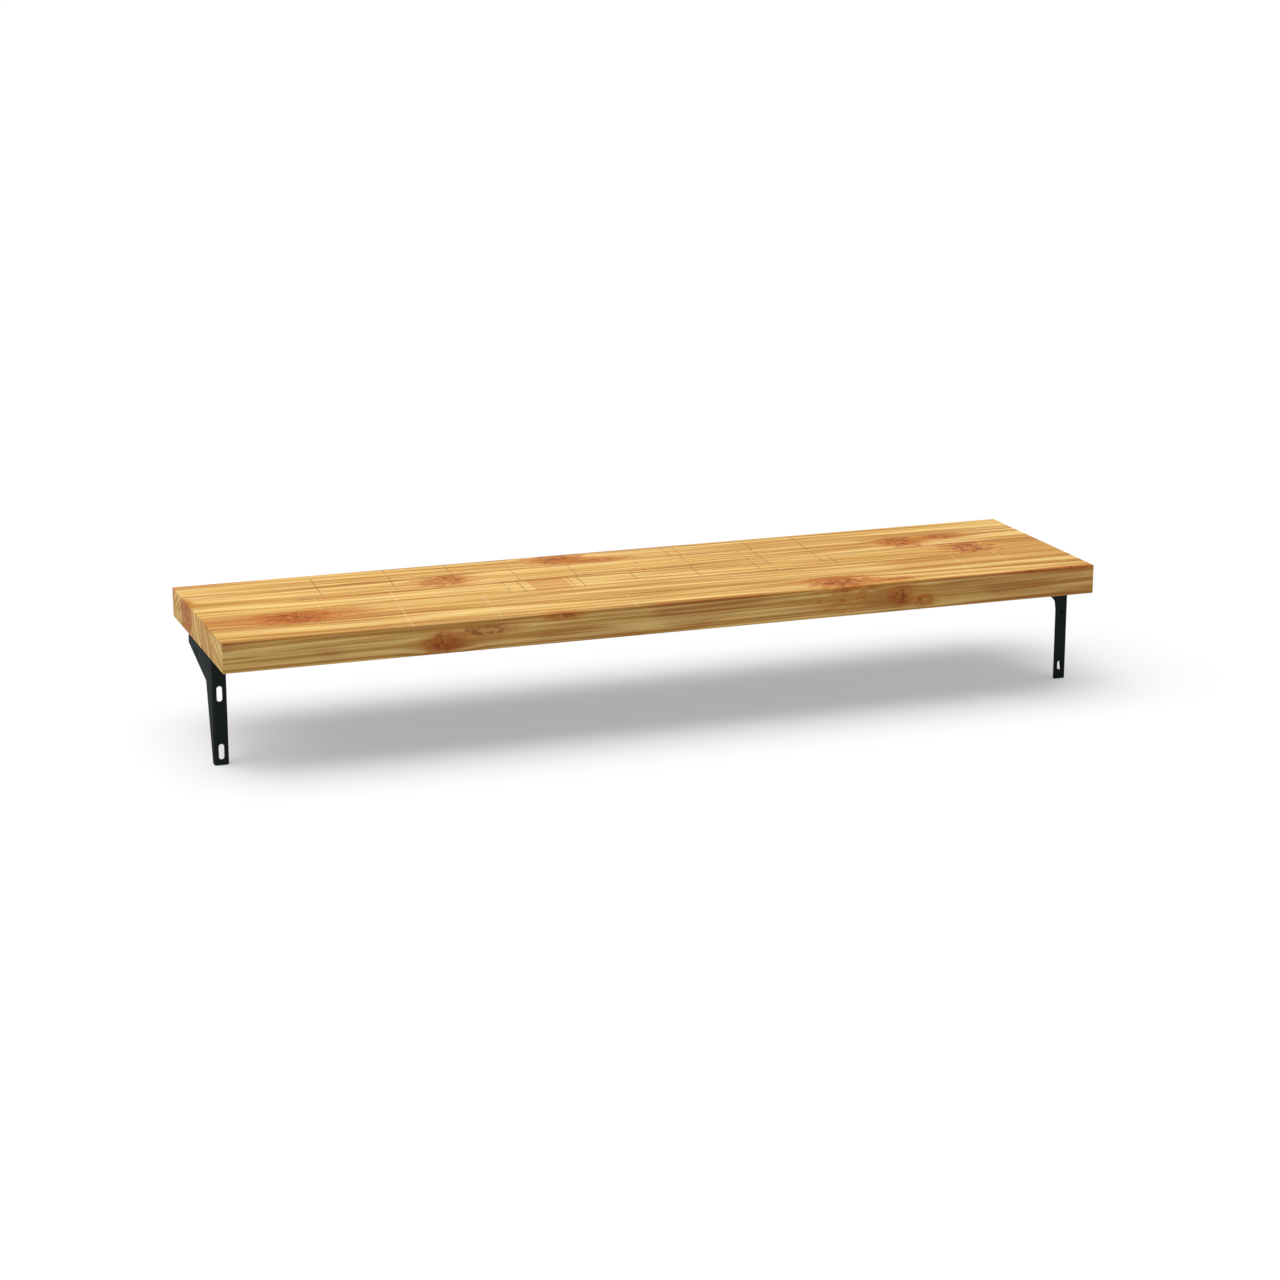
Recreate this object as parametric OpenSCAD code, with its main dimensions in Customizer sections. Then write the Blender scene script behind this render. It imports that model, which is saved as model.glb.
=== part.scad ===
// Wall shelf: a thick edge-glued softwood board carried on two slim folded-steel brackets.
// +X runs along the shelf and +Z is up. The brackets' fixing flanges lie in the plane y = 0 and
// face -Y, the wall's side. The board's top surface is z = 0 and mid-length is x = 0.

/* [Board] */
// Length of the board, which is also the length over both brackets
board_length = 1190; // [600:5:1600]
// Depth of the board, from its wall-side edge to its front edge
board_depth = 300; // [250:5:400]
// Thickness of the board
board_thickness = 39; // [32:1:50]
// Number of full-length staves glued edge to edge
stave_count = 5; // [3:1:8]
// How far the board reaches past the fixing plane on the wall's side
wall_overhang = 69; // [0:1:90]
// Width of the small chamfer that eases the board's outer arrises
arris = 0.6; // [0.2:0.1:2]

/* [Brackets] */
// Length of each leg, measured from the outer faces of the corner
leg_length = 137; // [110:1:200]
// Thickness of the steel sheet
sheet = 1.2; // [0.8:0.1:2]
// Outer radius of the folds between the web and its flanges
fold_radius = 3; // [2.4:0.1:3.8]
// Width of the flanges, measured from the web's outer face
flange_width = 18; // [15:0.5:30]
// Depth of the web at the ends of the legs
web_end_depth = 11; // [8:0.5:20]
// Depth of the web at the knee, where its two tapers meet
web_knee_depth = 35.5; // [28:0.5:50]
// Radius inside the knee
knee_radius = 6; // [2:0.5:12]
// Radius on the free corners of the web and flanges
corner_radius = 2; // [0.5:0.25:3]
// Slit between the two flanges where they meet at the corner
corner_slit = 0.4; // [0.2:0.1:1]

/* [Holes] */
// Distance between the two holes of a leg
hole_pitch = 75; // [60:1:80]
// Distance from the web's outer face to the line of holes in a flange
hole_line = 9; // [8.8:0.1:10]
// Distance from the leg's end to the centre of the far long slot
long_slot_margin = 17.5; // [14:0.5:22]
// End-to-end length of the long slots
long_slot_length = 20; // [14:0.5:24]
// Distance from the leg's end to the centre of the short slot
short_slot_margin = 19; // [12:0.5:24]
// End-to-end length of the short slot
short_slot_length = 12.5; // [9:0.5:16]
// Play between a screw's thread and the sides of a slot
slot_play = 2; // [1:0.1:2.4]
// Play between a screw's thread and the round hole
hole_play = 1.5; // [0.5:0.1:2]
// Diameter of the spare hole in the web
web_hole_diameter = 6.8; // [4:0.1:8]
// Distance of the spare hole from the corner, along its leg
web_hole_place = 82; // [60:1:90]
// Distance of the spare hole from its leg's outer face
web_hole_inset = 13; // [11:0.5:15]

/* [Screws] */
// Outer diameter of the thread of the screws that hold the board
screw_diameter = 5; // [4:0.5:6]
// Length of the screws under the head
screw_length = 30; // [16:1:32]
// Length of the screws' point
screw_point = 6; // [4:0.5:8]
// How far the screw head overlaps a slot on each side
head_bearing = 1.5; // [1:0.1:1.8]
// Height of the screw head
head_height = 3; // [2:0.1:4]
// Width across the driver recess, from wing to wing
recess_span = 5; // [3:0.1:6]
// Thickness of the recess's wings
recess_wing = 1.1; // [0.8:0.1:1.6]
// Depth of the driver recess
recess_depth = 1.8; // [1:0.1:2.4]

/* [Hidden] */
$fn = 64;
cut = 1; // how far a cutting shape runs past the face that it opens
arc_steps = 8;

wood = [0.87, 0.69, 0.41];
charcoal = [0.18, 0.2, 0.21];
zinc = [0.72, 0.71, 0.67];

stave_width = board_depth / stave_count;
underside = -board_thickness;
flange_start = sheet + corner_slit; // from the corner, so that neither flange meets the other
slot_width = screw_diameter + slot_play;
round_hole = screw_diameter + hole_play;
long_slots = [leg_length - long_slot_margin - hole_pitch, leg_length - long_slot_margin];
short_slot = leg_length - short_slot_margin;
first_hole = short_slot - hole_pitch;
screw_x = board_length / 2 - hole_line;
head_diameter = slot_width + 2 * head_bearing;

// Each screw's name and its place under the board. The two brackets are one pressing turned over,
// so the left board leg has the round hole and short slot, and the right one the long slots.
SCREWS = [
    ["left_wall_screw", [-screw_x, first_hole]],
    ["left_front_screw", [-screw_x, short_slot]],
    ["right_wall_screw", [screw_x, long_slots[0]]],
    ["right_front_screw", [screw_x, long_slots[1]]]
];

function unit(v) = v / norm(v);

// The corner at b, on the way from a to c, as an arc of radius r that touches both edges
function round_corner(a, b, c, r) =
    let (
        to_a = unit(a - b),
        to_c = unit(c - b),
        half = acos(to_a * to_c) / 2,
        centre = b + unit(to_a + to_c) * r / sin(half),
        start = b + to_a * r / tan(half) - centre,
        end = b + to_c * r / tan(half) - centre,
        sweep = acos(unit(start) * unit(end)),
        side = sign(start[0] * end[1] - start[1] * end[0])
    )
    [for (i = [0 : arc_steps])
        let (turn = side * sweep * i / arc_steps)
        centre + [
            start[0] * cos(turn) - start[1] * sin(turn),
            start[0] * sin(turn) + start[1] * cos(turn)
        ]];

// An outline whose corners are [x, y, radius]; a radius of 0 keeps the corner sharp
function rounded_outline(corners) =
    [for (i = [0 : len(corners) - 1])
        let (
            n = len(corners),
            a = corners[(i + n - 1) % n],
            b = corners[i],
            c = corners[(i + 1) % n]
        )
        for (p = b[2] == 0
            ? [[b[0], b[1]]]
            : round_corner([a[0], a[1]], [b[0], b[1]], [c[0], c[1]], b[2]))
            p];

// Moves a shape to where a screw's head meets the underside of its flange
module at_screw(place) {
    translate([place[0], place[1], underside - sheet])
        children();
}

// A pan-head wood screw that points up, with its head's bearing face at z = 0
module screw_body() {
    cylinder(h = screw_length - screw_point, d = screw_diameter);
    translate([0, 0, screw_length - screw_point])
        cylinder(h = screw_point, d1 = screw_diameter, d2 = 0);
}

module screw_head() {
    // The dome is a cap of the ball that passes through the rim at half the head's height
    rim = head_diameter / 2;
    rise = head_height / 2;
    ball = (rim * rim + rise * rise) / (2 * rise);
    difference() {
        intersection() {
            translate([0, 0, -head_height])
                cylinder(h = head_height, r = rim);
            translate([0, 0, ball - head_height])
                sphere(r = ball, $fn = 128);
        }
        for (turn = [0, 90])
            rotate(turn)
                translate([-recess_span / 2, -recess_wing / 2, -head_height - cut])
                    cube([recess_span, recess_wing, recess_depth + cut]);
    }
}

module board_screw(place) {
    color(zinc)
        at_screw(place) {
            screw_body();
            screw_head();
        }
}

// One stave of the board; only the arrises on the outside of the board are eased
module stave(number) {
    near = -wall_overhang + (number - 1) * stave_width;
    far = near + stave_width;
    near_ease = number == 1 ? arris : 0;
    far_ease = number == stave_count ? arris : 0;
    end = board_length / 2;
    color(wood)
        difference() {
            intersection() {
                // Section across the board
                rotate([90, 0, 90])
                    translate([0, 0, -end])
                        linear_extrude(board_length)
                            polygon([
                                [near + near_ease, underside], [far - far_ease, underside],
                                [far, underside + far_ease], [far, -far_ease],
                                [far - far_ease, 0], [near + near_ease, 0],
                                [near, -near_ease], [near, underside + near_ease]
                            ]);
                // Section along the board
                rotate([90, 0, 0])
                    translate([0, 0, -far])
                        linear_extrude(stave_width)
                            polygon([
                                [-end + arris, underside], [end - arris, underside],
                                [end, underside + arris], [end, -arris],
                                [end - arris, 0], [-end + arris, 0],
                                [-end, -arris], [-end, underside + arris]
                            ]);
            }
            for (screw = SCREWS)
                at_screw(screw[1])
                    screw_body();
        }
}

// A slot for a flange, centred on the origin and running along Y
module slot_cut(length) {
    run = length - slot_width;
    translate([0, 0, -cut]) {
        translate([-slot_width / 2, -run / 2, 0])
            cube([slot_width, run, sheet + 2 * cut]);
        for (side = [-1, 1])
            translate([0, side * run / 2, 0])
                cylinder(h = sheet + 2 * cut, d = slot_width);
    }
}

// One flange with its fold: it lies on z = 0, runs along +Y and is folded up from the web at x = 0
module flange() {
    translate([0, flange_start, fold_radius])
        rotate([-90, 0, 0])
            linear_extrude(leg_length - flange_start)
                translate([fold_radius, 0])
                    intersection() {
                        difference() {
                            circle(fold_radius);
                            circle(fold_radius - sheet);
                        }
                        translate([-fold_radius, 0])
                            square(fold_radius);
                    }
    linear_extrude(sheet)
        polygon(rounded_outline([
            [fold_radius, flange_start, 0],
            [flange_width, flange_start, 0],
            [flange_width, leg_length, corner_radius],
            [fold_radius, leg_length, 0]
        ]));
}

// The flange of the slotted leg
module slotted_flange() {
    difference() {
        flange();
        for (place = long_slots)
            translate([hole_line, place, 0])
                slot_cut(long_slot_length);
    }
}

// The flange of the leg with a round hole and a short slot
module drilled_flange() {
    difference() {
        flange();
        translate([hole_line, first_hole, -cut])
            cylinder(h = sheet + 2 * cut, d = round_hole);
        translate([hole_line, short_slot, 0])
            slot_cut(short_slot_length);
    }
}

// The flat web between the two flanges, which tapers from the knee to the end of each leg
module web() {
    difference() {
        linear_extrude(sheet)
            polygon(rounded_outline([
                [fold_radius, fold_radius, 0],
                [leg_length, fold_radius, 0],
                [leg_length, web_end_depth, corner_radius],
                [web_knee_depth, web_knee_depth, knee_radius],
                [web_end_depth, leg_length, corner_radius],
                [fold_radius, leg_length, 0]
            ]));
        translate([web_hole_place, web_hole_inset, -cut])
            cylinder(h = sheet + 2 * cut, d = web_hole_diameter);
    }
}

// The pressing with its corner at the origin: the web's outer face is x = 0, the drilled leg runs
// along +Y and the slotted leg along -Z
module bracket() {
    rotate([90, 0, 90])
        mirror([0, 1, 0])
            web();
    mirror([0, 0, 1])
        drilled_flange();
    rotate([-90, 0, 0])
        slotted_flange();
}

module left_bracket() {
    color(charcoal)
        translate([-board_length / 2, 0, underside])
            bracket();
}

// The same pressing turned over, so that its slotted leg carries the board
module right_bracket() {
    color(charcoal)
        translate([board_length / 2, 0, underside])
            rotate(a = 180, v = [0, 1, -1])
                bracket();
}

for (number = [1 : stave_count])
    stave(number);
left_bracket();
right_bracket();
for (screw = SCREWS)
    board_screw(screw[1]);
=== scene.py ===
# %% [markdown]
# # A thick softwood shelf on two folded-steel brackets
# The shelf is a board of five long staves glued edge to edge. It rests on two slim brackets, and
# four screws come up through the brackets into the wood. The sizes were settled in CAD, and this
# lesson gives the pieces their look: the wood's grain and knots, the powder coat on the steel, the
# screws' threads, and the studio round them.
#
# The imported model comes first. It is the fixed frame, so every place below is worked out from it.

# %% Load the frame
import math

import bmesh
import bpy
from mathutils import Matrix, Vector


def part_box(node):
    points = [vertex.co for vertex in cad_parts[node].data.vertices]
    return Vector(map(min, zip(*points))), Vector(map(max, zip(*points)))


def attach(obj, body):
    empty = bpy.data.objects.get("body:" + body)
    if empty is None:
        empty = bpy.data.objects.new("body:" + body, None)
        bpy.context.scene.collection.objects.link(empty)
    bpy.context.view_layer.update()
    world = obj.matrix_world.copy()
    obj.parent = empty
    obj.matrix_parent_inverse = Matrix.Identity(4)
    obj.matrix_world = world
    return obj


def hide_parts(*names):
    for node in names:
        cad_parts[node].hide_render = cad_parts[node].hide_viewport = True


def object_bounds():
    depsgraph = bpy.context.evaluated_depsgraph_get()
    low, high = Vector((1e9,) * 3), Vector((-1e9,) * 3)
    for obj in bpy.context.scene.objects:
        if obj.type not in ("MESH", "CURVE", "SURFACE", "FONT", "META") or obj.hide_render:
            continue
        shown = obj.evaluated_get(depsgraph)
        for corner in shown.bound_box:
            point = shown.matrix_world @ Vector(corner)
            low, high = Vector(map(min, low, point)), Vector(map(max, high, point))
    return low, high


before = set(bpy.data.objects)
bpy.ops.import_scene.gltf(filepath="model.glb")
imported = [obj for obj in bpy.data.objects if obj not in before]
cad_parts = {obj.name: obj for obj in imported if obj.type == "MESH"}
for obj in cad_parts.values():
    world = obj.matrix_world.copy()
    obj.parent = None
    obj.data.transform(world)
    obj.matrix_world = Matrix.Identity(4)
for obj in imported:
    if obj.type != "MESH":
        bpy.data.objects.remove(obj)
cad_low, cad_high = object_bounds()
MM = 0.001
print("CAD box in mm:", [round(v / MM, 1) for v in (cad_high - cad_low)])

# %% [markdown]
# ## Two small helpers
# A colour picked on a screen is an sRGB hex value, while a shader works in linear light, so one
# function turns the first into the second. A material is a tree of nodes. One more function adds a
# node, sets it up and wires its inputs, so a tree reads from top to bottom like a recipe.

# %% Colour and node helpers


def linear(hex_colour):
    """An sRGB hex colour, such as "#c08a4a", as the linear RGBA that a shader socket takes."""
    shares = [int(hex_colour[i : i + 2], 16) / 255 for i in (1, 3, 5)]
    return tuple(s / 12.92 if s <= 0.04045 else ((s + 0.055) / 1.055) ** 2.4 for s in shares) + (1,)


def add(tree, kind, inputs=None, **settings):
    """Adds a node. An input takes a number, a colour, a socket, or another node's first output."""
    made = tree.nodes.new(kind if "Node" in kind else "ShaderNode" + kind)
    for name, value in settings.items():
        setattr(made, name, value)
    for key, value in (inputs or {}).items():
        if isinstance(value, bpy.types.Node):
            value = next(output for output in value.outputs if output.enabled)
        if isinstance(value, bpy.types.NodeSocket):
            tree.links.new(value, made.inputs[key])
        else:
            made.inputs[key].default_value = value
    return made


def new_material(name):
    """An empty material and its tree."""
    material = bpy.data.materials.new(name)
    material.use_nodes = True
    material.node_tree.nodes.clear()
    return material, material.node_tree


def finish_material(tree, surface, bump):
    """Wires a Principled BSDF and the bump that it uses to the material's output."""
    tree.links.new(bump.outputs[0], surface.inputs["Normal"])
    add(tree, "OutputMaterial", {"Surface": surface})


print("linear mid grey:", [round(v, 3) for v in linear("#808080")])

# %% [markdown]
# ## The camera
# The camera stands 20 degrees to the left of the shelf's wall side and 15 degrees above it. It
# aims at the middle of the object's box, so the box gives its place and only the distance is
# chosen. A lens a little longer than normal keeps the far bracket from looking tiny.

# %% Camera
AZIMUTH, ELEVATION = math.radians(-20), math.radians(15)
CAMERA_DISTANCE = 4.0
LENS_MM = 84.4

centre = (cad_low + cad_high) / 2
back = Vector((
    math.sin(AZIMUTH) * math.cos(ELEVATION),
    -math.cos(AZIMUTH) * math.cos(ELEVATION),
    math.sin(ELEVATION),
))
camera_data = bpy.data.cameras.new("camera")
camera_data.lens = LENS_MM
camera = bpy.data.objects.new("camera", camera_data)
camera.location = centre + back * CAMERA_DISTANCE
camera.rotation_mode = "QUATERNION"
camera.rotation_quaternion = back.to_track_quat("Z", "Y")
bpy.context.scene.collection.objects.link(camera)
bpy.context.scene.camera = camera
print("camera at", [round(v, 3) for v in camera.location])

# %% [markdown]
# ## The studio
# The floor is a pale acrylic sheet at the feet of the brackets. One wide light high up on the left
# makes the broad soft shadow under the board. It is made of two Sun lamps side by side, so that it
# is wider along the shelf than across it. A Sun is as strong far away as near by, so the floor
# stays white to the horizon. The world adds a dim even light.
#
# A white floor throws a lot of light up, and would flatten the wood's near side. So part of the
# floor's white is a glow that only the camera sees, and so is the white of the world. Under the
# board the glow is a little blue, against the orange light that the wood throws down.

# %% Floor, overhead light and world
FLOOR_SIZE = 400.0  # in metres, so that its edge is out of sight
FLOOR_GAP = 0.2 * MM
FLOOR_GLOW = 0.362
TINT_MIDDLE_MM = (25, 67)  # where the bluer glow lies, along X and Y
TINT_INNER_MM = (430, 70)  # it is full out to here from its middle
TINT_OUTER_MM = (640, 180)  # and gone by here
SKY_STRENGTH = 0.36
OVERHEAD_STRENGTH = 2.85  # of both lamps together
OVERHEAD_ANGLE = math.radians(58)
OVERHEAD_LEANS = (Vector((-0.60, 0.09, 1.0)), Vector((-0.04, 0.09, 1.0)))

floor_mesh = bpy.data.meshes.new("floor")
half_floor = FLOOR_SIZE / 2
floor_z = cad_low.z - FLOOR_GAP
floor_mesh.from_pydata(
    [(x * half_floor, y * half_floor, floor_z) for x, y in ((-1, -1), (1, -1), (1, 1), (-1, 1))],
    [],
    [(0, 1, 2, 3)],
)
floor = bpy.data.objects.new("floor", floor_mesh)
bpy.context.scene.collection.objects.link(floor)

acrylic, tree = new_material("matt white acrylic")
mottle = add(tree, "TexNoise", {"Scale": 3.0, "Detail": 3.0})
tone = add(tree, "Mix", {0: mottle, 6: linear("#c3c3c3"), 7: linear("#c8c8c8")}, data_type="RGBA")
apart = add(tree, "SeparateXYZ", {0: add(tree, "TexCoord").outputs["Object"]})
tint = 1.0
for axis, middle, inner, outer in zip("XY", TINT_MIDDLE_MM, TINT_INNER_MM, TINT_OUTER_MM):
    gap = add(tree, "Math", {0: apart.outputs[axis], 1: middle * MM}, operation="SUBTRACT")
    gap = add(tree, "Math", {0: gap}, operation="ABSOLUTE")
    fade = add(
        tree, "MapRange", {0: gap, 1: outer * MM, 2: inner * MM, 3: 0.0, 4: 1.0},
        interpolation_type="SMOOTHSTEP",
    )
    tint = add(tree, "Math", {0: fade, 1: tint}, operation="MULTIPLY")
glow = add(
    tree, "Mix", {0: tint, 6: linear("#f8fcff"), 7: linear("#e6f2fc")}, data_type="RGBA"
)
is_camera = add(tree, "LightPath").outputs["Is Camera Ray"]
surface = add(
    tree,
    "BsdfPrincipled",
    {
        "Base Color": tone,
        "Roughness": 0.9,
        "Specular IOR Level": 0.0,
        "Emission Color": glow,
        "Emission Strength": add(
            tree, "Math", {0: is_camera, 1: FLOOR_GLOW}, operation="MULTIPLY"
        ),
    },
)
finish_material(tree, surface, add(tree, "Bump", {"Height": mottle, "Strength": 0.02}))
floor_mesh.materials.append(acrylic)

overhead_data = bpy.data.lights.new("overhead light", "SUN")
overhead_data.energy = OVERHEAD_STRENGTH / len(OVERHEAD_LEANS)
overhead_data.angle = OVERHEAD_ANGLE
for lean in OVERHEAD_LEANS:
    overhead = bpy.data.objects.new("overhead light", overhead_data)
    overhead.rotation_mode = "QUATERNION"
    overhead.rotation_quaternion = lean.to_track_quat("Z", "Y")
    bpy.context.scene.collection.objects.link(overhead)

world = bpy.data.worlds.new("white cyclorama")
world.use_nodes = True
bpy.context.scene.world = world
tree = world.node_tree
tree.nodes.clear()
seen = add(tree, "Background", {"Color": (1, 1, 1, 1), "Strength": 1.0})
lighting = add(tree, "Background", {"Color": (1, 1, 1, 1), "Strength": SKY_STRENGTH})
is_camera = add(tree, "LightPath").outputs["Is Camera Ray"]
both = add(tree, "MixShader", {0: is_camera, 1: lighting, 2: seen})
add(tree, "OutputWorld", {"Surface": both})
bpy.context.scene.view_settings.view_transform = "Standard"
print("floor at z =", round(floor_z / MM, 2), "mm")

# %% [markdown]
# ## The grain of one stave
# A softwood trunk grows a ring each year: pale early wood, then a darker line of late wood. Every
# plank is a slice of those nested tubes, so the honest way to draw it is in 3-D. For each point of
# a stave the shader finds its distance from the trunk's pith, in millimetres, and reads the ring
# from it. The same rings then meet at the arrises, run long and straight on the faces and show as
# bands on the end grain, with no picture to stretch. Noise makes the trunk wander.
#
# A knot is a branch. The trunk's rings part round it like water round a stone. Here the ring
# distance is pulled to a single value near the knot's middle, which bends the lines round it.

# %% Growth rings
RING_MM = 6.5  # a fast-grown plantation softwood adds about this much a year
WANDER_MM = 1.6  # how far a ring strays from its true distance
WANDER_LUMP_MM = (450, 90, 90)  # and over what length, along the trunk and across it
SEED_SLIDE = (7.3, 3.1, 5.7)  # how far one step of a seed slides a noise
KNOT_PULL = (1.9, 0.9, 0.9)  # the reach of a knot's pull on the rings, as shares of its half sizes
TOP_SQUEEZE = 0.42  # rings are drawn wider on the top, which is seen at a low angle, so they show


def place_in_mm(tree):
    """The point being shaded, in millimetres in the shelf's own frame."""
    place = add(tree, "TexCoord").outputs["Object"]
    return add(tree, "VectorMath", {0: place, "Scale": 1 / MM}, operation="SCALE")


def stretched_noise(tree, place, lengths_mm, detail, seed, roughness=0.5):
    """Noise whose lumps measure lengths_mm along X, Y and Z. The seed slides it to a new part."""
    slide = tuple(seed * step for step in SEED_SLIDE)
    scale = tuple(1 / length for length in lengths_mm)
    inside = add(tree, "Mapping", {"Vector": place, "Location": slide, "Scale": scale})
    return add(
        tree,
        "TexNoise",
        {"Vector": inside, "Scale": 1.0, "Detail": detail, "Roughness": roughness},
    )


def egg_distance(tree, place, middle_mm, half_mm):
    """Distance from the middle of an egg-shaped zone: 0 in the middle and 1 on its skin."""
    move = tuple(-m / h for m, h in zip(middle_mm, half_mm))
    inside = add(
        tree, "Mapping", {"Vector": place, "Location": move, "Scale": tuple(1 / h for h in half_mm)}
    )
    return add(tree, "VectorMath", {0: inside}, operation="LENGTH")


def ring_distance(tree, place, stave):
    """Distance from the pith in mm, with the trunk's taper, its wander and the flow round knots."""
    apart = add(tree, "SeparateXYZ", {0: place})
    pith = (0, *stave["pith"])
    from_pith = add(tree, "VectorMath", {0: place, 1: pith}, operation="SUBTRACT")
    across = add(tree, "VectorMath", {0: from_pith, 1: (0, TOP_SQUEEZE, 1)}, operation="MULTIPLY")
    radius = add(tree, "VectorMath", {0: across}, operation="LENGTH")
    tapered = add(
        tree, "Math", {0: apart.outputs["X"], 1: stave["taper"], 2: radius}, operation="MULTIPLY_ADD"
    )
    stray = stretched_noise(tree, place, WANDER_LUMP_MM, 1.0, stave["number"])
    rings = add(tree, "Math", {0: stray, 1: 4 * WANDER_MM, 2: tapered}, operation="MULTIPLY_ADD")
    for knot in stave["knots"]:
        along, sideways, up = knot["at_mm"]
        reach = [half * share for half, share in zip(knot["half_mm"], KNOT_PULL)]
        distance = egg_distance(tree, place, knot["at_mm"], reach)
        pull = add(
            tree, "MapRange", {0: distance, 1: 1.4, 2: 0.1, 3: 0.0, 4: 1.0},
            interpolation_type="SMOOTHSTEP",
        )
        held = math.hypot((sideways - stave["pith"][0]) * TOP_SQUEEZE, up - stave["pith"][1])
        held += along * stave["taper"] + 2 * WANDER_MM
        rings = add(tree, "Mix", {0: pull, 2: rings, 3: held}, data_type="FLOAT")
    return rings


print("rings in one 60 mm stave:", round(60 / RING_MM))

# %% [markdown]
# ## Where the staves come from
# Each stave was cut from another part of a log, so each has its own pith, tone and knots. The
# places of knots and saw marks are measured from the board's left end, and across from the
# stave's own near edge. A knot's third number is its depth under the board's top. Some knots have
# slits, where the dead branch's bark has dried and let go of the wood.

# %% The five staves
BOARD_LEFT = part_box("stave_1")[0].x / MM
BOARD_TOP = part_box("stave_1")[1].z / MM


def stave_plan(number, pith, taper, tone, knots, **marks):
    """One stave's log. The pith is placed from the stave's middle, across and up."""
    low, high = (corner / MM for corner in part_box(f"stave_{number}"))
    return {
        "number": number,
        "low": low,
        "high": high,
        "pith": ((low.y + high.y) / 2 + pith[0], (low.z + high.z) / 2 + pith[1]),
        "taper": taper,
        "tone": tone,
        "knots": [
            {
                "at_mm": (BOARD_LEFT + along, low.y + across, BOARD_TOP - deep),
                "half_mm": half_mm,
                "dark": dark,
                "slits": slits,
            }
            for along, across, deep, half_mm, dark, slits in knots
        ],
        "stains": marks.get("stains", ()),
        "dark_saw": marks.get("dark_saw", ()),
        "pale_saw": marks.get("pale_saw", ()),
    }


STAVES = [
    stave_plan(
        1, (-120, 63), 0.006, "#e2b868",
        [
            (832, 30, 0, (44, 30, 30), 1.0, (-2, 12)),
            (905, 20, 0, (34, 9, 9), 0.7, ()),
            (280, 0, 26, (26, 24, 15), 0.9, ()),
            (335, 0, 14, (44, 24, 8), 0.7, ()),
            (906, 0, 17, (19, 24, 13), 0.9, (3,)),
            (940, 0, 27, (15, 20, 8), 0.8, ()),
            (438, 0, 4, (26, 14, 5), 0.7, ()),
            (1140, 1, 1, (90, 6, 4), 0.75, ()),
        ],
        pale_saw=(247, 362, 543, 941, 1024, 1088, 1166),
    ),
    stave_plan(
        2, (160, -22), -0.004, "#d2a456",
        [(114, 32, 0, (46, 33, 34), 1.0, ())],
        stains=((-60, 215, "#b8692c", 0.5), (930, 1300, "#b5701f", 0.4)),
        pale_saw=(249, 363, 1029, 1093),
    ),
    stave_plan(
        3, (-185, 26), 0.003, "#daa855",
        [
            (1076, 30, 0, (34, 34, 34), 0.95, (-11, 11)),
        ],
        stains=((443, 494, "#b9621f", 0.4), (1110, 1300, "#b5701f", 0.45)),
        dark_saw=(404, 424, 493, 506, 581, 668, 755, 776, 851, 866),
        pale_saw=(151, 252),
    ),
    stave_plan(
        4, (135, 40), 0.007, "#e2b15e",
        [
            (344, 32, 0, (34, 30, 34), 0.75, ()),
            (1003, 34, 0, (28, 30, 34), 0.95, ()),
            (1070, 46, 0, (30, 16, 30), 0.8, ()),
            (-4, 30, 16, (12, 33, 26), 0.85, ()),
        ],
        dark_saw=(164, 264, 349, 430, 510, 604, 672, 756, 776, 852),
    ),
    stave_plan(
        5, (-150, -30), 0.004, "#e2b460",
        [
            (521, 36, 0, (36, 34, 34), 0.85, ()),
            (572, 16, 0, (44, 14, 20), 0.6, ()),
            (20, 56, 0, (90, 8, 20), 0.5, ()),
        ],
        dark_saw=(164, 265, 350, 431, 516, 660, 676, 779, 853),
    ),
]
# The stretches where a glued joint is stained, keyed by the stave on the joint's near side
JOINT_STAINS = {
    3: ((130, 305), (400, 550), (1035, 1200)),
    4: ((-20, 80), (200, 270), (310, 400), (940, 1200)),
}
for stave in STAVES:
    print("stave", stave["number"], "has", len(stave["knots"]), "knots and flames")

# %% [markdown]
# ## Planed and oiled softwood
# The finish is clear oil on a planed face: it warms the tone, deepens the late wood and leaves a
# soft satin sheen. The colour is built in layers, from the broadest to the finest: the stave's
# tone, wide bands, the rings, streaks of resin and pale sapwood, and fine fibres. Late wood is also
# a little harder and glossier than early wood. Each layer is laid over the last by an amount that
# a mask gives, from 0 to 1.

# %% The wood's parts
BAND_MM = (420, 18, 80)  # wide bands: along the trunk, out from the pith, and round it
STREAK_MM = (420, 4.5, 60)  # resin-rich streaks
PALE_MM = (360, 4.5, 50)  # streaks of pale early wood
FINE_MM = (300, 3.0, 40)  # narrow streaks of both
FIBRE_MM = (110, 2.0, 22)  # bundles of fibres; single ones are too fine to see
SAW_SLANT = 0.075  # how far a saw line leans along the board as it crosses it
SAW_LINE_MM = 0.9  # half the width of a saw line, drawn wider than a real scratch so it shows
SAW_BREAK_MM = (30, 24, 60)  # the size of the patches where a saw line is broken
FAR_MM = 99.0  # a distance at which no saw line shows
STAIN_DEPTH_MM = 9  # how far a stain soaks in from the top
SHORT_STAIN_MM = 100  # a stain shorter than this ends at saw lines
SHORT_FADE_MM = 1  # so its ends hardly fade
STAIN_FADE_MM = 30  # and a longer one's ends fade softly
JOINT_MM = 5.5  # how far the brown of a glued joint reaches into the wood
JOINT_FADE_MM = 15  # how softly the end of a stained stretch of joint fades
JOINT_LUMP_MM = (170, 60, 60)  # the size of the patches where the other joints are stained
GROWTH_MM = 21  # good and bad years come over about this much wood
GROWTH_YEARS = 2.4  # and move a ring by up to this many years


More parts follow.
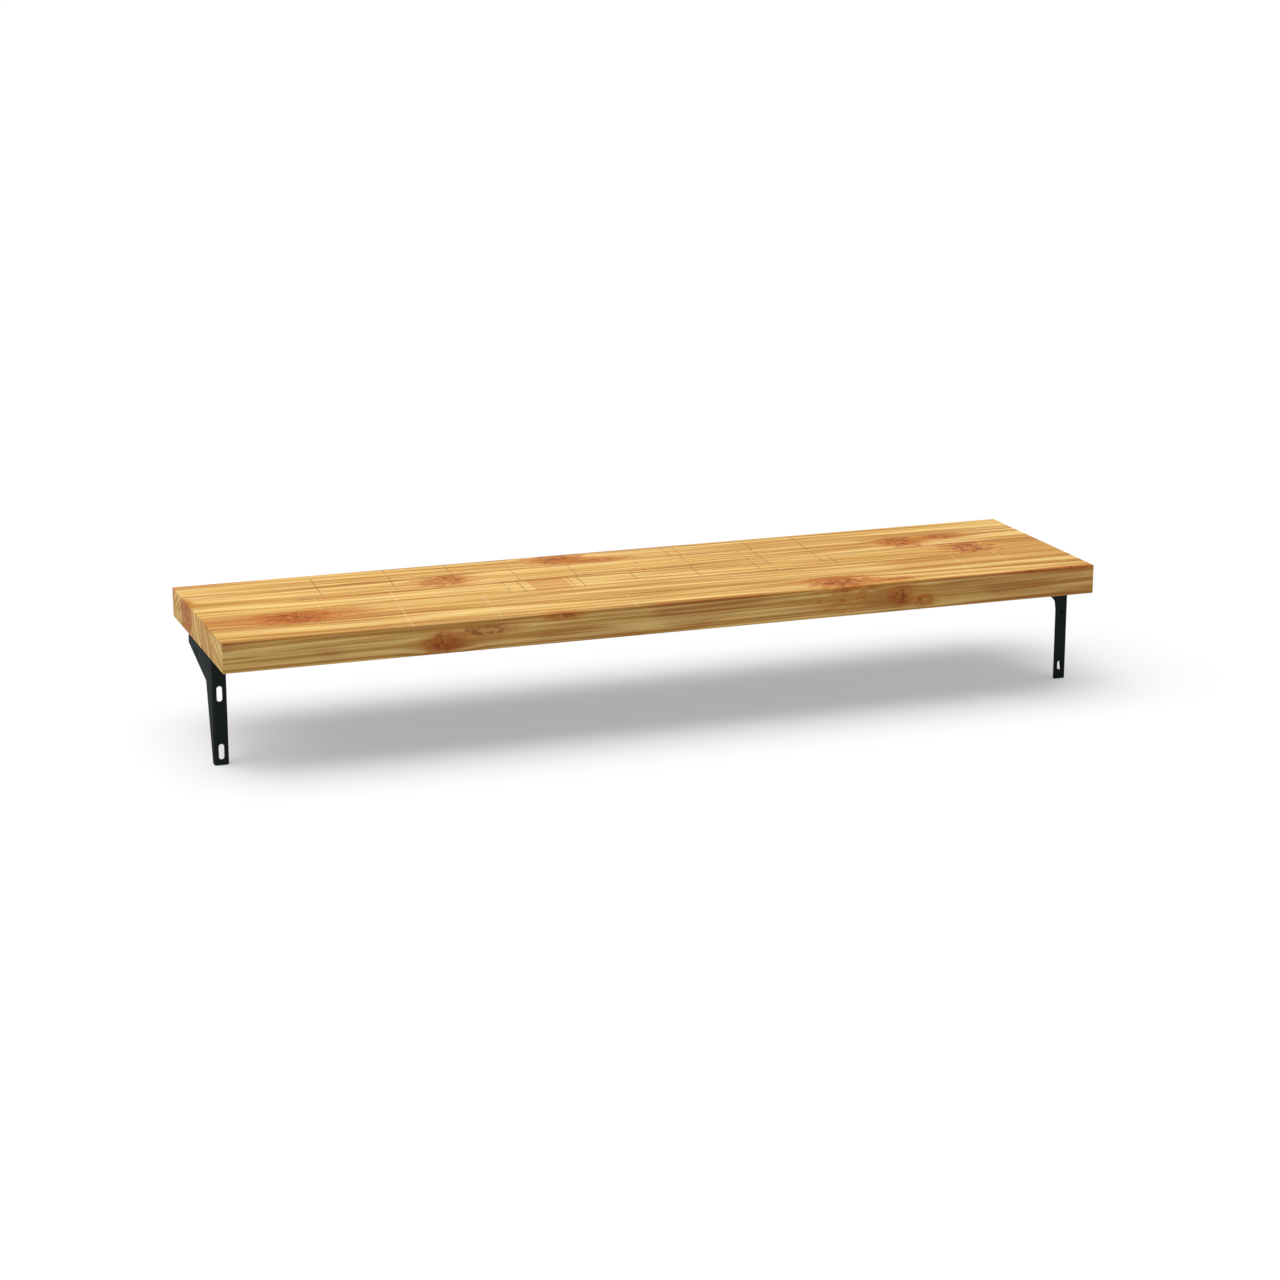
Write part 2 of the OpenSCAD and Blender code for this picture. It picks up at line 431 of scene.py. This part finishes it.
def late_wood(tree, rings, number):
    """How dark the ring is here: it rises slowly through the year, then drops at once."""
    slow = add(
        tree, "Math", {0: rings, 1: 1 / GROWTH_MM, 2: number * 5.0}, operation="MULTIPLY_ADD"
    )
    uneven = add(
        tree, "TexNoise", {"W": slow, "Scale": 1.0, "Detail": 1.0}, noise_dimensions="1D"
    )
    shift = add(tree, "Math", {0: uneven, 1: GROWTH_YEARS}, operation="MULTIPLY")
    years = add(tree, "Math", {0: rings, 1: 1 / RING_MM, 2: shift}, operation="MULTIPLY_ADD")
    part = add(tree, "Math", {0: years}, operation="FRACT")
    rise = add(
        tree, "MapRange", {0: part, 1: 0.2, 2: 0.86, 3: 0.0, 4: 1.0},
        interpolation_type="SMOOTHSTEP",
    )
    drop = add(
        tree, "MapRange", {0: part, 1: 1.0, 2: 0.88, 3: 0.0, 4: 1.0},
        interpolation_type="SMOOTHSTEP",
    )
    return add(tree, "Math", {0: rise, 1: drop}, operation="MULTIPLY")


def saw_lines(tree, place, places, seed):
    """Thin lines across the grain of the top, broken here and there, as a saw's teeth leave."""
    apart = add(tree, "SeparateXYZ", {0: place})
    along = add(
        tree, "Math", {0: apart.outputs["Y"], 1: -SAW_SLANT, 2: apart.outputs["X"]},
        operation="MULTIPLY_ADD",
    )
    nearest = FAR_MM
    for line in places:
        gap = add(tree, "Math", {0: along, 1: BOARD_LEFT + line}, operation="SUBTRACT")
        gap = add(tree, "Math", {0: gap}, operation="ABSOLUTE")
        nearest = add(tree, "Math", {0: gap, 1: nearest}, operation="MINIMUM")
    line = add(
        tree, "MapRange", {0: nearest, 1: SAW_LINE_MM, 2: 0.0, 3: 0.0, 4: 1.0},
        interpolation_type="SMOOTHSTEP",
    )
    broken = stretched_noise(tree, place, SAW_BREAK_MM, 1.0, seed + 20)
    shown = add(
        tree, "MapRange", {0: broken, 1: 0.36, 2: 0.52, 3: 0.25, 4: 1.0},
        interpolation_type="SMOOTHSTEP",
    )
    marks = add(tree, "Math", {0: line, 1: shown}, operation="MULTIPLY")
    on_top = add(
        tree, "MapRange",
        {0: apart.outputs["Z"], 1: BOARD_TOP - 1.5, 2: BOARD_TOP - 0.5, 3: 0.0, 4: 1.0},
    )
    return add(tree, "Math", {0: marks, 1: on_top}, operation="MULTIPLY")


def stretch_of_board(tree, place, start, end, fade, strength, blend):
    """A mask that is strength between two places along the board, and fades at both ends."""
    along = add(tree, "SeparateXYZ", {0: place}).outputs["X"]
    middle = BOARD_LEFT + (start + end) / 2
    half = (end - start) / 2
    gap = add(tree, "Math", {0: along, 1: middle}, operation="SUBTRACT")
    gap = add(tree, "Math", {0: gap}, operation="ABSOLUTE")
    return add(
        tree, "MapRange", {0: gap, 1: half + fade, 2: half - fade, 3: 0.0, 4: strength},
        interpolation_type=blend,
    )


print("fibres", FIBRE_MM, "mm; streaks", STREAK_MM, "mm")

# %% [markdown]
# ## Knots
# A knot is drawn in layers over the grain that already flows round it: a wide ragged flame of
# resin-soaked wood, pale arcs where the rings wrap it, darker flecks in its middle, and the slits
# where its bark has let go. A slit is painted dark: partly the bark's own brown, and partly painted
# shade in the gap, which the mesh does not have.

# %% Knot colours
FLAME_LUMP_MM = (16, 8, 8)
FLECK_LUMP_MM = (9, 5, 5)
KNOT_STREAK_MM = (40, 3.0, 9)
ARCS_PER_KNOT = 11.0  # how closely the pale arcs follow one another
SLIT_MM = 1.1


def draw_knot(tree, colour, place, grain, knot, seed):
    """Lays one knot over the colour."""
    length, width, depth = knot["half_mm"]
    dark = knot["dark"]
    distance = egg_distance(tree, place, knot["at_mm"], knot["half_mm"])
    lumps = stretched_noise(tree, place, FLAME_LUMP_MM, 5.0, seed, 0.62)
    flecks = stretched_noise(tree, place, FLECK_LUMP_MM, 3.0, seed + 1, 0.6)
    streaks = stretched_noise(tree, grain, KNOT_STREAK_MM, 3.0, seed + 2, 0.6)
    roughness = min(3.0, 0.1 * min(knot["half_mm"]))
    ragged = add(tree, "Math", {0: lumps, 1: roughness, 2: distance}, operation="MULTIPLY_ADD")
    ragged = add(tree, "Math", {0: ragged, 1: roughness / 2}, operation="SUBTRACT")

    thin = add(tree, "MapRange", {0: streaks, 1: 0.36, 2: 0.58, 3: 0.62, 4: 1.0})
    halo = add(
        tree, "MapRange", {0: ragged, 1: 1.9, 2: 0.8, 3: 0.0, 4: 0.5 * dark},
        interpolation_type="SMOOTHSTEP",
    )
    halo = add(tree, "Math", {0: halo, 1: thin}, operation="MULTIPLY")
    flame = add(
        tree, "MapRange", {0: ragged, 1: 1.35, 2: 0.6, 3: 0.0, 4: 0.85 * dark},
        interpolation_type="SMOOTHSTEP",
    )
    flame = add(tree, "Math", {0: flame, 1: thin}, operation="MULTIPLY")
    core = add(
        tree, "MapRange", {0: ragged, 1: 1.0, 2: 0.4, 3: 0.0, 4: 1.0},
        interpolation_type="SMOOTHSTEP",
    )
    speck = add(
        tree, "MapRange", {0: flecks, 1: 0.49, 2: 0.56, 3: 0.0, 4: 0.8 * dark},
        interpolation_type="SMOOTHSTEP",
    )
    speck = add(tree, "Math", {0: core, 1: speck}, operation="MULTIPLY")
    wave = add(tree, "Math", {0: ragged, 1: ARCS_PER_KNOT}, operation="MULTIPLY")
    wave = add(tree, "Math", {0: wave}, operation="SINE")
    arc = add(tree, "MapRange", {0: wave, 1: 0.3, 2: 1.0, 3: 0.0, 4: 0.4 * dark})
    arc = add(tree, "Math", {0: core, 1: arc}, operation="MULTIPLY")
    layers = [(halo, "#c87a28"), (flame, "#b05a18"), (arc, "#dda25a"), (speck, "#85380f")]
    # Each slit is painted dark brown: the bark's own colour, and painted shade in the open gap
    for offset in knot["slits"]:
        middle = (knot["at_mm"][0] + offset, knot["at_mm"][1], knot["at_mm"][2])
        slit = egg_distance(tree, place, middle, (SLIT_MM * 2, width * 0.75, depth))
        slit = add(tree, "Math", {0: flecks, 1: 1.6, 2: slit}, operation="MULTIPLY_ADD")
        slit = add(
            tree, "MapRange", {0: slit, 1: 1.8, 2: 1.0, 3: 0.0, 4: 0.6 * dark},
            interpolation_type="SMOOTHSTEP",
        )
        layers.append((slit, "#5a2f14"))
    for amount, over in layers:
        colour = add(tree, "Mix", {0: amount, 6: colour, 7: linear(over)}, data_type="RGBA")
    return colour


print("knots and flames in the board:", sum(len(stave["knots"]) for stave in STAVES))

# %% [markdown]
# ## One material for each stave
# The recipe is the same for every stave, and its plan gives the log, the knots and the marks.

# %% Oiled softwood


def oiled_softwood(stave):
    """The material of one stave."""
    number = stave["number"]
    material, tree = new_material(f"planed and oiled softwood {number}")
    place = place_in_mm(tree)
    apart = add(tree, "SeparateXYZ", {0: place})
    rings = ring_distance(tree, place, stave)

    # Coordinates that follow the grain: along the trunk, out from the pith, and round it
    turned = add(
        tree, "Math", {0: apart.outputs["Z"], 1: apart.outputs["Y"]}, operation="SUBTRACT"
    )
    grain = add(tree, "CombineXYZ", {"X": apart.outputs["X"], "Y": rings, "Z": turned})
    bands = stretched_noise(tree, grain, BAND_MM, 2.0, number + 17)
    streaks = stretched_noise(tree, grain, STREAK_MM, 1.5, number + 5)
    pale = stretched_noise(tree, grain, PALE_MM, 1.5, number + 13)
    fine = stretched_noise(tree, grain, FINE_MM, 0.0, number + 21)
    fibres = stretched_noise(tree, grain, FIBRE_MM, 0.0, number + 9)
    late = late_wood(tree, rings, number)
    faint = add(tree, "MapRange", {0: bands, 1: 0.36, 2: 0.6, 3: 0.25, 4: 0.85})
    ring_lines = add(tree, "Math", {0: late, 1: faint}, operation="MULTIPLY")

    layers = [
        (add(tree, "MapRange", {0: bands, 1: 0.42, 2: 0.66, 3: 0.0, 4: 0.32}), "#cb9344"),
        (ring_lines, "#b87e31"),
        (add(tree, "MapRange", {0: streaks, 1: 0.49, 2: 0.6, 3: 0.0, 4: 0.5}), "#b3762b"),
        (add(tree, "MapRange", {0: pale, 1: 0.49, 2: 0.6, 3: 0.0, 4: 0.5}), "#fbda90"),
        (add(tree, "MapRange", {0: fine, 1: 0.49, 2: 0.62, 3: 0.0, 4: 0.42}), "#a86d2a"),
        (add(tree, "MapRange", {0: fine, 1: 0.47, 2: 0.4, 3: 0.0, 4: 0.36}), "#fbd98e"),
        (add(tree, "MapRange", {0: fibres, 1: 0.45, 2: 0.65, 3: 0.0, 4: 0.14}), "#a16f33"),
    ]
    colour = linear(stave["tone"])
    for amount, over in layers:
        colour = add(tree, "Mix", {0: amount, 6: colour, 7: linear(over)}, data_type="RGBA")

    soaked = add(
        tree, "MapRange",
        {0: apart.outputs["Z"], 1: BOARD_TOP - STAIN_DEPTH_MM, 2: BOARD_TOP, 3: 0.0, 4: 1.0},
    )
    for start, end, over, strength in stave["stains"]:
        fade = SHORT_FADE_MM if end - start < SHORT_STAIN_MM else STAIN_FADE_MM
        inside = stretch_of_board(tree, place, start, end, fade, strength, "SMOOTHSTEP")
        inside = add(tree, "Math", {0: inside, 1: soaked}, operation="MULTIPLY")
        colour = add(tree, "Mix", {0: inside, 6: colour, 7: linear(over)}, data_type="RGBA")
    for index, knot in enumerate(stave["knots"]):
        colour = draw_knot(tree, colour, place, grain, knot, number * 30 + index * 3)
    for places, over, strength in (
        (stave["dark_saw"], "#74401a", 0.95),
        (stave["pale_saw"], "#fae8ba", 0.45),
    ):
        if places:
            marks = saw_lines(tree, place, places, number)
            marks = add(tree, "Math", {0: marks, 1: strength}, operation="MULTIPLY")
            colour = add(tree, "Mix", {0: marks, 6: colour, 7: linear(over)}, data_type="RGBA")

    # A brown line of glue and pressed fibres shows here and there along the joints
    from_near = add(
        tree, "Math", {0: apart.outputs["Y"], 1: stave["low"].y}, operation="SUBTRACT"
    )
    from_far = add(
        tree, "Math", {0: stave["high"].y, 1: apart.outputs["Y"]}, operation="SUBTRACT"
    )
    patchy = stretched_noise(tree, place, JOINT_LUMP_MM, 2.0, number + 31)
    patchy = add(
        tree, "MapRange", {0: patchy, 1: 0.46, 2: 0.58, 3: 0.0, 4: 0.6},
        interpolation_type="SMOOTHSTEP",
    )
    uneven = add(tree, "MapRange", {0: fine, 1: 0.42, 2: 0.55, 3: 0.5, 4: 1.0})
    for joint, edge in ((number - 1, from_near), (number, from_far)):
        stained = patchy
        for start, end in JOINT_STAINS.get(joint, ()):
            inside = stretch_of_board(tree, place, start, end, JOINT_FADE_MM, 1.0, "LINEAR")
            stained = add(tree, "Math", {0: stained, 1: inside}, operation="MAXIMUM")
        close = add(
            tree, "MapRange", {0: edge, 1: JOINT_MM, 2: 1.0, 3: 0.0, 4: 0.9},
            interpolation_type="SMOOTHSTEP",
        )
        amount = add(tree, "Math", {0: close, 1: stained}, operation="MULTIPLY")
        amount = add(tree, "Math", {0: amount, 1: uneven}, operation="MULTIPLY")
        colour = add(tree, "Mix", {0: amount, 6: colour, 7: linear("#9c5324")}, data_type="RGBA")

    gloss = add(tree, "MapRange", {0: late, 1: 0.0, 2: 1.0, 3: 0.58, 4: 0.47})
    half_late = add(tree, "Math", {0: late, 1: 0.5}, operation="MULTIPLY")
    relief = add(tree, "Math", {0: fibres, 1: 0.7, 2: half_late}, operation="MULTIPLY_ADD")
    bump = add(tree, "Bump", {"Height": relief, "Strength": 0.2, "Distance": 0.12 * MM})
    surface = add(
        tree,
        "BsdfPrincipled",
        {"Base Color": colour, "Roughness": gloss, "Specular IOR Level": 0.15, "IOR": 1.5},
    )
    finish_material(tree, surface, bump)
    return material


WOODS = {stave["number"]: oiled_softwood(stave) for stave in STAVES}
print("wood materials:", len(WOODS))

# %% [markdown]
# ## Charcoal powder coat
# The brackets are sprayed with dry powder and baked, which leaves a tough satin skin with a faint
# orange-peel texture. It is nearly black with a touch of blue. The waves of the orange peel are
# about 1 mm across and the grit in the satin finish is finer than that.

# %% Powder coat
PEEL_MM = 1.1
GRIT_MM = 0.35
CLOUD_MM = 30  # slow changes of tone over the bracket

powder_coat, tree = new_material("satin charcoal powder coat")
place = place_in_mm(tree)
peel = stretched_noise(tree, place, (PEEL_MM,) * 3, 2.0, 1)
grit = stretched_noise(tree, place, (GRIT_MM,) * 3, 2.0, 2)
cloud = stretched_noise(tree, place, (CLOUD_MM,) * 3, 3.0, 3)
layers = [
    (add(tree, "MapRange", {0: cloud, 1: 0.3, 2: 0.7, 3: 0.0, 4: 1.0}), "#282e30"),
    (add(tree, "MapRange", {0: grit, 1: 0.55, 2: 0.75, 3: 0.0, 4: 0.3}), "#363d3f"),
]
colour = linear("#22282a")
for amount, over in layers:
    colour = add(tree, "Mix", {0: amount, 6: colour, 7: linear(over)}, data_type="RGBA")
small_grit = add(tree, "Math", {0: grit, 1: 0.35}, operation="MULTIPLY")
relief = add(tree, "Math", {0: peel, 1: small_grit}, operation="ADD")
bump = add(tree, "Bump", {"Height": relief, "Strength": 0.3, "Distance": 0.05 * MM})
satin = add(tree, "MapRange", {0: grit, 1: 0.3, 2: 0.7, 3: 0.44, 4: 0.56})
surface = add(
    tree,
    "BsdfPrincipled",
    {"Base Color": colour, "Roughness": satin, "Specular IOR Level": 0.01},
)
finish_material(tree, surface, bump)
print("powder coat with", PEEL_MM, "mm orange peel")

# %% [markdown]
# ## Softened edges
# A CAD solid has edges of no width, and the eye reads them as paper. Real sheet steel has a tiny
# radius under its coat, and planed wood has a sanded arris. The CAD meshes stay as they are, so
# each piece here is a copy whose loose triangles are merged and whose flat faces are joined, and
# then only the edges that meet at the wanted angle are bevelled.

# %% Soften a copy of a CAD node
MERGE_MM = 0.002  # corners closer than this are one
FLAT_DEGREES = 0.5  # faces that turn by less than this are one face
SMOOTH_DEGREES = 32  # edges that turn by less than this are shaded smooth


def softened(node_name, piece_name, material, width_mm, from_degrees, to_degrees):
    """A copy of a CAD node with rounded edges where two faces turn by the given angle."""
    piece = bpy.data.objects.new(piece_name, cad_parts[node_name].data.copy())
    bpy.context.scene.collection.objects.link(piece)
    mesh = bmesh.new()
    mesh.from_mesh(piece.data)
    bmesh.ops.remove_doubles(mesh, verts=mesh.verts, dist=MERGE_MM * MM)
    bmesh.ops.dissolve_limit(
        mesh, angle_limit=math.radians(FLAT_DEGREES), verts=mesh.verts, edges=mesh.edges
    )
    chosen = [
        edge
        for edge in mesh.edges
        if len(edge.link_faces) == 2
        and math.radians(from_degrees) <= edge.calc_face_angle() <= math.radians(to_degrees)
    ]
    bmesh.ops.bevel(
        mesh, geom=chosen, offset=width_mm * MM, segments=3, profile=0.5, affect="EDGES",
        clamp_overlap=True,
    )
    # Where three bevels meet, their corner patch can stand a hair outside the CAD box
    low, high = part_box(node_name)
    for vert in mesh.verts:
        vert.co = [min(max(c, a), b) for c, a, b in zip(vert.co, low, high)]
    smooth_below = math.radians(SMOOTH_DEGREES)
    for edge in mesh.edges:
        edge.smooth = len(edge.link_faces) == 2 and edge.calc_face_angle() < smooth_below
    for face in mesh.faces:
        face.smooth = True
    mesh.to_mesh(piece.data)
    mesh.free()
    piece.data.materials.clear()
    piece.data.materials.append(material)
    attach(piece, "root")
    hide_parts(node_name)
    print(piece_name, "bevelled edges:", len(chosen), "faces:", len(piece.data.polygons))
    return piece


for stave in STAVES:
    number = stave["number"]
    softened(f"stave_{number}", f"softwood_stave_{number}", WOODS[number], 0.2, 30, 60)
for side in ("left", "right"):
    softened(f"{side}_bracket", f"{side}_steel_bracket", powder_coat,
             0.12, 60, 120)

# %% [markdown]
# ## Zinc plate
# The screws are steel with a thin bright coat of zinc. It is a metal, so its colour is in its
# reflection, and its roughness comes and goes where the plating took unevenly.

# %% Zinc plate
BLOOM_MM = 2.2
PLATING_GRAIN_MM = 0.25

zinc_plate, tree = new_material("bright zinc plate on steel")
place = place_in_mm(tree)
bloom = stretched_noise(tree, place, (BLOOM_MM,) * 3, 3.0, 4)
plating = stretched_noise(tree, place, (PLATING_GRAIN_MM,) * 3, 2.0, 5)
colour = add(
    tree, "Mix", {0: bloom, 6: linear("#a9adae"), 7: linear("#cfcdc4")}, data_type="RGBA"
)
bump = add(tree, "Bump", {"Height": plating, "Strength": 0.25, "Distance": 0.02 * MM})
brightness = add(tree, "MapRange", {0: bloom, 1: 0.3, 2: 0.7, 3: 0.26, 4: 0.42})
surface = add(
    tree, "BsdfPrincipled", {"Base Color": colour, "Roughness": brightness, "Metallic": 1.0}
)
finish_material(tree, surface, bump)
print("zinc plate with", BLOOM_MM, "mm bloom")

# %% [markdown]
# ## The screws
# Four equal wood screws hold the board. What repeats is a job for Geometry Nodes: one tree makes
# one screw from its sizes, sets it on four points, and gives each its own turn, as a driver would
# leave it. The shank is a rod with a diamond section wound round it as its thread. The far end of
# both is then squeezed to a point. The head is a short cylinder whose outer face is raised into a
# dome, with the cross for the driver cut out of it.

# %% Screw sizes and the tree
SCREW_MM = {
    "Thread Diameter": 5.0,
    "Thread Depth": 0.65,
    "Thread Pitch": 2.2,
    "Length": 30.0,
    "Point": 6.0,
    "Head Diameter": 10.0,
    "Head Height": 3.0,
    "Recess Span": 5.0,
    "Recess Wing": 1.1,
    "Recess Depth": 1.8,
}

screw_tree = bpy.data.node_groups.new("pan-head wood screws", "GeometryNodeTree")
screw_tree.interface.new_socket("Places", in_out="INPUT", socket_type="NodeSocketGeometry")
for name in SCREW_MM:
    screw_tree.interface.new_socket(name, in_out="INPUT", socket_type="NodeSocketFloat")
screw_tree.interface.new_socket("Zinc", in_out="INPUT", socket_type="NodeSocketMaterial")
screw_tree.interface.new_socket("Screws", in_out="OUTPUT", socket_type="NodeSocketGeometry")

size = add(screw_tree, "NodeGroupInput").outputs
position = add(screw_tree, "GeometryNodeInputPosition")
place = add(screw_tree, "SeparateXYZ", {0: position})

# The rod and its thread
radius = add(screw_tree, "Math", {0: size["Thread Diameter"], 1: 0.5}, operation="MULTIPLY")
core = add(screw_tree, "Math", {0: radius, 1: size["Thread Depth"]}, operation="SUBTRACT")
half = add(screw_tree, "Math", {0: size["Length"], 1: 0.5}, operation="MULTIPLY")
rod = add(
    screw_tree, "GeometryNodeMeshCylinder",
    {"Vertices": 24, "Side Segments": 40, "Radius": core, "Depth": size["Length"]},
)
rod = add(
    screw_tree, "GeometryNodeTransform",
    {"Geometry": rod, "Translation": add(screw_tree, "CombineXYZ", {"Z": half})},
)
turns = add(
    screw_tree, "Math", {0: size["Length"], 1: size["Thread Pitch"]}, operation="DIVIDE"
)
helix = add(
    screw_tree, "GeometryNodeCurveSpiral",
    {"Resolution": 20, "Rotations": turns, "Start Radius": core, "End Radius": core,
     "Height": size["Length"]},
)
helix = add(screw_tree, "GeometryNodeSetCurveNormal", {0: helix}, mode="Z_UP")
section = add(
    screw_tree, "GeometryNodeCurvePrimitiveCircle", {"Resolution": 4, "Radius": size["Thread Depth"]}
)
thread = add(
    screw_tree, "GeometryNodeCurveToMesh",
    {"Curve": helix, "Profile Curve": section, "Fill Caps": True},
)
shank = add(screw_tree, "GeometryNodeJoinGeometry", {0: rod})
screw_tree.links.new(thread.outputs[0], shank.inputs[0])

# Squeeze the far end to a point, and keep all of it inside the screw's length
left_over = add(screw_tree, "Math", {0: size["Length"], 1: place.outputs["Z"]}, operation="SUBTRACT")
narrow = add(
    screw_tree, "MapRange", {0: left_over, 1: 0.0, 2: size["Point"], 3: 0.04, 4: 1.0}
)
kept_z = add(screw_tree, "Clamp", {0: place.outputs["Z"], 1: 0.0, 2: size["Length"]})
squeeze = add(screw_tree, "CombineXYZ", {"X": narrow, "Y": narrow, "Z": 1.0})
thinner = add(screw_tree, "VectorMath", {0: position, 1: squeeze}, operation="MULTIPLY")
thinner = add(screw_tree, "SeparateXYZ", {0: thinner})
pointed = add(
    screw_tree, "CombineXYZ",
    {"X": thinner.outputs["X"], "Y": thinner.outputs["Y"], "Z": kept_z},
)
shank = add(screw_tree, "GeometryNodeSetPosition", {"Geometry": shank, "Position": pointed})

# The head: its outer cap is lowered at the rim to make the dome
rim = add(screw_tree, "Math", {0: size["Head Diameter"], 1: 0.5}, operation="MULTIPLY")
middle = add(screw_tree, "Math", {0: size["Head Height"], 1: -0.5}, operation="MULTIPLY")
head = add(
    screw_tree, "GeometryNodeMeshCylinder",
    {"Vertices": 64, "Side Segments": 1, "Fill Segments": 8, "Radius": rim,
     "Depth": size["Head Height"]},
    fill_type="TRIANGLE_FAN",
)
head = add(
    screw_tree, "GeometryNodeTransform",
    {"Geometry": head, "Translation": add(screw_tree, "CombineXYZ", {"Z": middle})},
)
flat = add(screw_tree, "VectorMath", {0: position, 1: (1, 1, 0)}, operation="MULTIPLY")
out = add(screw_tree, "VectorMath", {0: flat}, operation="LENGTH")
out = add(screw_tree, "Math", {0: out, 1: rim}, operation="DIVIDE")
out = add(screw_tree, "Math", {0: out, 1: out}, operation="MULTIPLY")
rise = add(screw_tree, "Math", {0: size["Head Height"], 1: 0.5}, operation="MULTIPLY")
rise = add(screw_tree, "Math", {0: rise, 1: out}, operation="MULTIPLY")
is_outer = add(screw_tree, "Math", {0: place.outputs["Z"], 1: middle}, operation="LESS_THAN")
head = add(
    screw_tree, "GeometryNodeSetPosition",
    {"Geometry": head, "Selection": is_outer,
     "Offset": add(screw_tree, "CombineXYZ", {"Z": rise})},
)

# The driver's cross
deep = add(screw_tree, "Math", {0: size["Recess Depth"], 1: 2.0}, operation="MULTIPLY")
bottom = add(screw_tree, "Math", {0: size["Head Height"], 1: -1.0}, operation="MULTIPLY")
wings = [
    add(
        screw_tree, "GeometryNodeTransform",
        {
            "Geometry": add(
                screw_tree, "GeometryNodeMeshCube",
                {"Size": add(screw_tree, "CombineXYZ", {"X": across, "Y": along, "Z": deep})},
            ),
            "Translation": add(screw_tree, "CombineXYZ", {"Z": bottom}),
        },
    )
    for across, along in (
        (size["Recess Span"], size["Recess Wing"]),
        (size["Recess Wing"], size["Recess Span"]),
    )
]
head = add(screw_tree, "GeometryNodeMeshBoolean", {0: head, 1: wings[0]}, operation="DIFFERENCE")
screw_tree.links.new(wings[1].outputs[0], head.inputs[1])

# Four screws, each with its own turn, baked to real faces
screw = add(screw_tree, "GeometryNodeJoinGeometry", {0: head})
screw_tree.links.new(shank.outputs[0], screw.inputs[0])
turn = add(screw_tree, "FunctionNodeRandomValue", {"Seed": 4}, data_type="FLOAT_VECTOR")
turn = add(screw_tree, "VectorMath", {0: turn, 1: (0, 0, math.tau)}, operation="MULTIPLY")
screws = add(
    screw_tree, "GeometryNodeInstanceOnPoints",
    {"Points": size["Places"], "Instance": screw, "Rotation": turn},
)
screws = add(screw_tree, "GeometryNodeRealizeInstances", {0: screws})
screws = add(
    screw_tree, "GeometryNodeSetMaterial", {"Geometry": screws, "Material": size["Zinc"]}
)
add(screw_tree, "NodeGroupOutput", {0: screws})
print("nodes in the screw tree:", len(screw_tree.nodes))

# %% [markdown]
# ## Four screws in their places
# A screw stands on the point where its head meets the steel. That is one screw length below the
# top of its CAD node, on the node's own axis.

# %% Place and bake the screws
SCREW_NODES = ("left_wall_screw", "left_front_screw", "right_wall_screw", "right_front_screw")

SCREW_SMOOTH_DEGREES = 30

spots = []
for name in SCREW_NODES:
    low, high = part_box(name)
    spots.append(((low.x + high.x) / 2, (low.y + high.y) / 2, high.z - SCREW_MM["Length"] * MM))
spot_mesh = bpy.data.meshes.new("screw places")
spot_mesh.from_pydata(spots, [], [])
maker = bpy.data.objects.new("screw maker", spot_mesh)
bpy.context.scene.collection.objects.link(maker)
nodes = maker.modifiers.new("screws", "NODES")
nodes.node_group = screw_tree
for item in screw_tree.interface.items_tree:
    if item.in_out == "INPUT" and item.name in SCREW_MM:
        nodes[item.identifier] = SCREW_MM[item.name] * MM
    if item.in_out == "INPUT" and item.name == "Zinc":
        nodes[item.identifier] = zinc_plate
view = bpy.context.evaluated_depsgraph_get()
screw_mesh = bpy.data.meshes.new_from_object(maker.evaluated_get(view))
maker.modifiers.clear()
bpy.data.objects.remove(maker)
screw_mesh.name = "board screws"
screw_piece = bpy.data.objects.new("board_screws", screw_mesh)
bpy.context.scene.collection.objects.link(screw_piece)
for edge in screw_mesh.edges:
    edge.use_edge_sharp = False
screw_mesh.shade_smooth()
screw_mesh.set_sharp_from_angle(angle=math.radians(SCREW_SMOOTH_DEGREES))
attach(screw_piece, "root")
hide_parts(*SCREW_NODES)
print("screw faces:", len(screw_mesh.polygons), "materials:", len(screw_mesh.materials))
